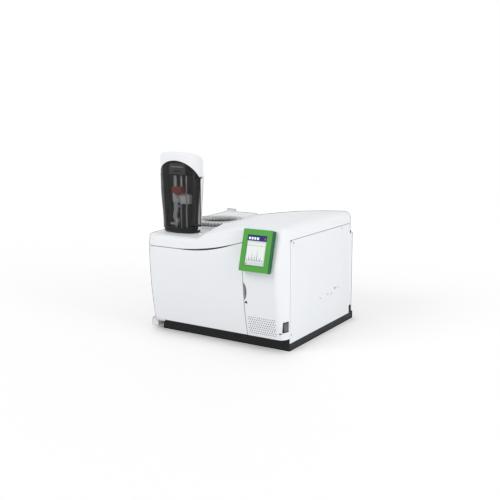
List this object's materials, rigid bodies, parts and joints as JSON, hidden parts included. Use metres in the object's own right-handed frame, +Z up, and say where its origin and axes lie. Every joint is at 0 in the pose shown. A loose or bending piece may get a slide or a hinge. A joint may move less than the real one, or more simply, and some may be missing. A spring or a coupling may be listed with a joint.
{
  "type": "gas chromatograph",
  "caption": "Bench gas chromatograph with a bulged oven door, a tilting touch screen on its right column, an autosampler tower and a turning vial carousel on the deck.",
  "frame": {"origin": "on the bench, at the middle of the body's width and of the plinth's depth", "axes": "+X to the instrument's right seen from its front, +Y to its back, +Z up; the oven door and the screen face -Y"},
  "size_m": [0.6647, 0.686, 0.7471],
  "materials": {
    "black_plastic": "matt",
    "copper_red": "anodised",
    "cover_paint": "light grey, satin",
    "green_plastic": "semi-gloss",
    "grey_plastic": "satin",
    "heater": "oxidised",
    "insulation": "mineral wool",
    "led": "lit",
    "panel_paint": "light grey, fine texture",
    "rubber": "matt",
    "screen_glass": "gloss",
    "sheet_steel": "plain",
    "silica": "polyimide coated",
    "smoke_plastic": "gloss",
    "vial_glass": "clear",
    "white_plastic": "satin"
  },
  "bodies": {
    "cabinet": {"rubber_parts": "rubber", "base_plinth": "black_plastic", "chassis": "sheet_steel", "frame_rails": "sheet_steel", "left_side_panel": "panel_paint", "right_side_panel": "panel_paint", "panel_screws": "sheet_steel", "rear_panel": "sheet_steel", "rear_shroud": "cover_paint", "exhaust_duct": "sheet_steel", "inlet_socket": "black_plastic", "gas_module": "sheet_steel", "oven_casing": "sheet_steel", "oven_insulation": "insulation", "oven_liner": "sheet_steel", "fan_motor": "grey_plastic", "heater_coil": "heater", "baffle_hanger": "sheet_steel", "capillary_column": "silica", "inlets": "sheet_steel", "port_caps": "white_plastic", "hinge_blocks": "panel_paint", "sampler_plate": "sheet_steel", "deck_cover": "cover_paint", "lid_hinge": "grey_plastic", "right_cowl": "cover_paint", "service_cover": "cover_paint", "cover_ledge": "grey_plastic", "grip_pocket": "black_plastic", "display_bracket": "black_plastic", "power_switch_frame": "black_plastic", "status_led": "led", "electronics": "sheet_steel", "sampler_bearings": "sheet_steel"},
    "oven_door": {"door_skin": "cover_paint", "door_pan": "sheet_steel", "door_insulation": "insulation", "door_seal": "rubber", "door_arms": "sheet_steel"},
    "latch_button": {"latch_button": "black_plastic"},
    "display": {"display_case": "green_plastic", "display_screen": "screen_glass"},
    "power_rocker": {"power_rocker": "grey_plastic"},
    "tower": {"tower_shell": "cover_paint", "tower_base": "black_plastic", "tower_frame": "black_plastic", "tower_rods": "sheet_steel", "needle_rest": "sheet_steel"},
    "tower_door": {"tower_door": "smoke_plastic", "tower_door_hinge": "smoke_plastic"},
    "syringe_carriage": {"syringe_carriage": "grey_plastic", "syringe": "sheet_steel"},
    "plunger_carriage": {"plunger_carriage": "copper_red"},
    "carousel": {"carousel_tray": "black_plastic", "vials": "vial_glass", "vial_caps": "white_plastic"},
    "oven_fan": {"fan_wheel": "sheet_steel"},
    "vent_flap": {"vent_flap": "sheet_steel"},
    "rear_lid": {"rear_lid": "cover_paint", "lid_knuckle": "sheet_steel"}
  },
  "joints": [
    {"name": "oven_door_hinge", "type": "hinge", "parent": "cabinet", "child": "oven_door", "pos_m": [-0.312, -0.287, 0.2], "axis": [0, 0, -1], "range_deg": [0, 105]},
    {"name": "latch_press", "type": "slide", "parent": "cabinet", "child": "latch_button", "axis": [0, 1, 0], "range_m": [0, 0.003], "stiffness_N_per_m": 400, "springref_m": -0.002},
    {"name": "display_tilt", "type": "hinge", "parent": "cabinet", "child": "display", "pos_m": [0.231, -0.364, 0.325], "axis": [1, 0, 0], "range_deg": [0, 15]},
    {"name": "power_switch", "type": "hinge", "parent": "cabinet", "child": "power_rocker", "pos_m": [0.32429, -0.3128, 0.1005], "axis": [0.3024, 0.9532, 0], "range_deg": [0, 16]},
    {"name": "tower_turn", "type": "hinge", "parent": "cabinet", "child": "tower", "pos_m": [-0.2, -0.255, 0.39], "axis": [0, 0, 1], "range_deg": [-90, 0]},
    {"name": "tower_door_hinge", "type": "hinge", "parent": "tower", "child": "tower_door", "pos_m": [-0.0985, -0.269, 0.54], "axis": [0, 0, 1], "range_deg": [0, 90]},
    {"name": "syringe_lift", "type": "slide", "parent": "tower", "child": "syringe_carriage", "axis": [0, 0, -1], "range_m": [0, 0.04]},
    {"name": "plunger_draw", "type": "slide", "parent": "syringe_carriage", "child": "plunger_carriage", "axis": [0, 0, 1], "range_m": [0, 0.04]},
    {"name": "carousel_turn", "type": "hinge", "parent": "cabinet", "child": "carousel", "pos_m": [-0.155, -0.052, 0.4], "axis": [0, 0, 1], "continuous": true},
    {"name": "fan_turn", "type": "hinge", "parent": "cabinet", "child": "oven_fan", "pos_m": [-0.08, -0.1, 0.208], "axis": [0, 1, 0], "continuous": true},
    {"name": "vent_flap_turn", "type": "hinge", "parent": "cabinet", "child": "vent_flap", "pos_m": [-0.18, 0.2, 0.3], "axis": [1, 0, 0], "range_deg": [0, 80]},
    {"name": "rear_lid_hinge", "type": "hinge", "parent": "cabinet", "child": "rear_lid", "pos_m": [-0.28, 0.232, 0.443], "axis": [-1, 0, 0], "range_deg": [0, 70]}
  ]
}
